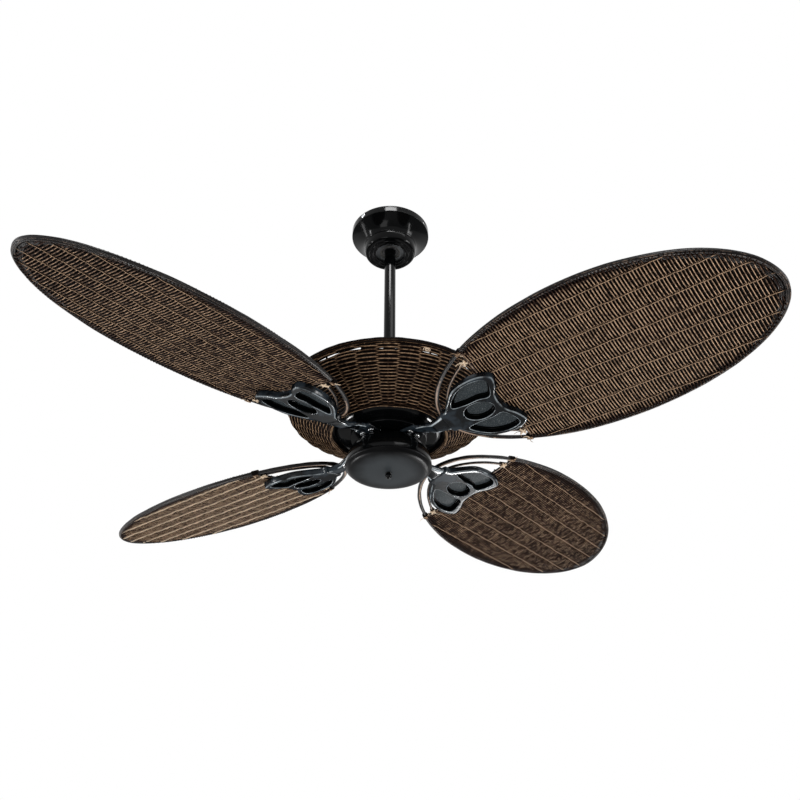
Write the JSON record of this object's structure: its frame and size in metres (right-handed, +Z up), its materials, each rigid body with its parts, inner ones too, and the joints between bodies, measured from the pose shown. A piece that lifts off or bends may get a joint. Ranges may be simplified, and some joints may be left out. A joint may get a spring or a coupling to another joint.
{
  "type": "ceiling fan",
  "caption": "Ceiling fan on a downrod: black motor in a woven bowl, oval woven blades on petal-shaped brackets, bell canopy above and a round cap below.",
  "frame": {"origin": "middle of the ceiling bracket's top face, where it meets the ceiling", "axes": "+Z up, out of the ceiling face; the fan hangs along -Z; the picture is taken from -Y, below"},
  "size_m": [0.9659, 0.9343, 0.4903],
  "materials": {
    "black_enamel": "glossy black enamel",
    "satin_black": "satin black paint",
    "black_cap": "semi-matt black paint",
    "zinc": "zinc-plated steel",
    "bright_steel": "bright turned steel",
    "nylon": "natural nylon",
    "ball_plastic": "black moulded plastic",
    "iron": "laminated electrical steel",
    "copper": "varnished copper wire",
    "can_plastic": "black moulded case",
    "dark_weave": "dark stained woven rattan, open and rough",
    "dark_rattan": "dark stained rattan pole with tan wear"
  },
  "bodies": {
    "ceiling_mount": {"ceiling_bracket": "zinc", "canopy": "black_enamel", "canopy_screw_1": "bright_steel", "canopy_screw_2": "bright_steel"},
    "swivel": {"swivel_seat": "nylon"},
    "hanging_motor": {"hanger_ball": "ball_plastic", "hanger_pin": "zinc", "downrod": "black_enamel", "rod_coupling": "satin_black", "coupling_pin": "zinc", "motor_shaft": "bright_steel", "stator_core": "iron", "stator_coil_upper": "copper", "stator_coil_lower": "copper", "bowl_frame": "satin_black", "wicker_bowl": "dark_weave", "bowl_rim": "dark_rattan", "switch_housing": "black_enamel", "shaft_nut": "zinc", "capacitor": "can_plastic", "bottom_cap": "black_cap", "finial_knob": "black_enamel"},
    "rotor": {"motor_shell_upper": "black_enamel", "motor_shell_lower": "black_enamel", "rotor_ring": "iron", "bearing_upper": "bright_steel", "bearing_lower": "bright_steel", "blade_flange": "black_enamel", "blade_bracket_1": "black_enamel", "blade_border_1": "dark_rattan", "blade_inner_loop_1": "dark_rattan", "blade_weave_1": "dark_weave", "blade_bracket_2": "black_enamel", "blade_border_2": "dark_rattan", "blade_inner_loop_2": "dark_rattan", "blade_weave_2": "dark_weave", "blade_bracket_3": "black_enamel", "blade_border_3": "dark_rattan", "blade_inner_loop_3": "dark_rattan", "blade_weave_3": "dark_weave", "blade_bracket_4": "black_enamel", "blade_border_4": "dark_rattan", "blade_inner_loop_4": "dark_rattan", "blade_weave_4": "dark_weave", "bracket_screw_1a": "bright_steel", "bracket_screw_1b": "bright_steel", "blade_screw_1a": "zinc", "blade_screw_1b": "zinc", "bracket_screw_2a": "bright_steel", "bracket_screw_2b": "bright_steel", "blade_screw_2a": "zinc", "blade_screw_2b": "zinc", "bracket_screw_3a": "bright_steel", "bracket_screw_3b": "bright_steel", "blade_screw_3a": "zinc", "blade_screw_3b": "zinc", "bracket_screw_4a": "bright_steel", "bracket_screw_4b": "bright_steel", "blade_screw_4a": "zinc", "blade_screw_4b": "zinc"}
  },
  "joints": [
    {"name": "swing_front", "type": "hinge", "parent": "ceiling_mount", "child": "swivel", "pos_m": [0, 0, -0.031], "axis": [1, 0, 0], "range_deg": [-15, 15]},
    {"name": "swing_side", "type": "hinge", "parent": "swivel", "child": "hanging_motor", "pos_m": [0, 0, -0.031], "axis": [0, 1, 0], "range_deg": [-15, 15]},
    {"name": "spin", "type": "hinge", "parent": "hanging_motor", "child": "rotor", "pos_m": [0, 0, -0.43], "axis": [0, 0, 1], "continuous": true}
  ]
}
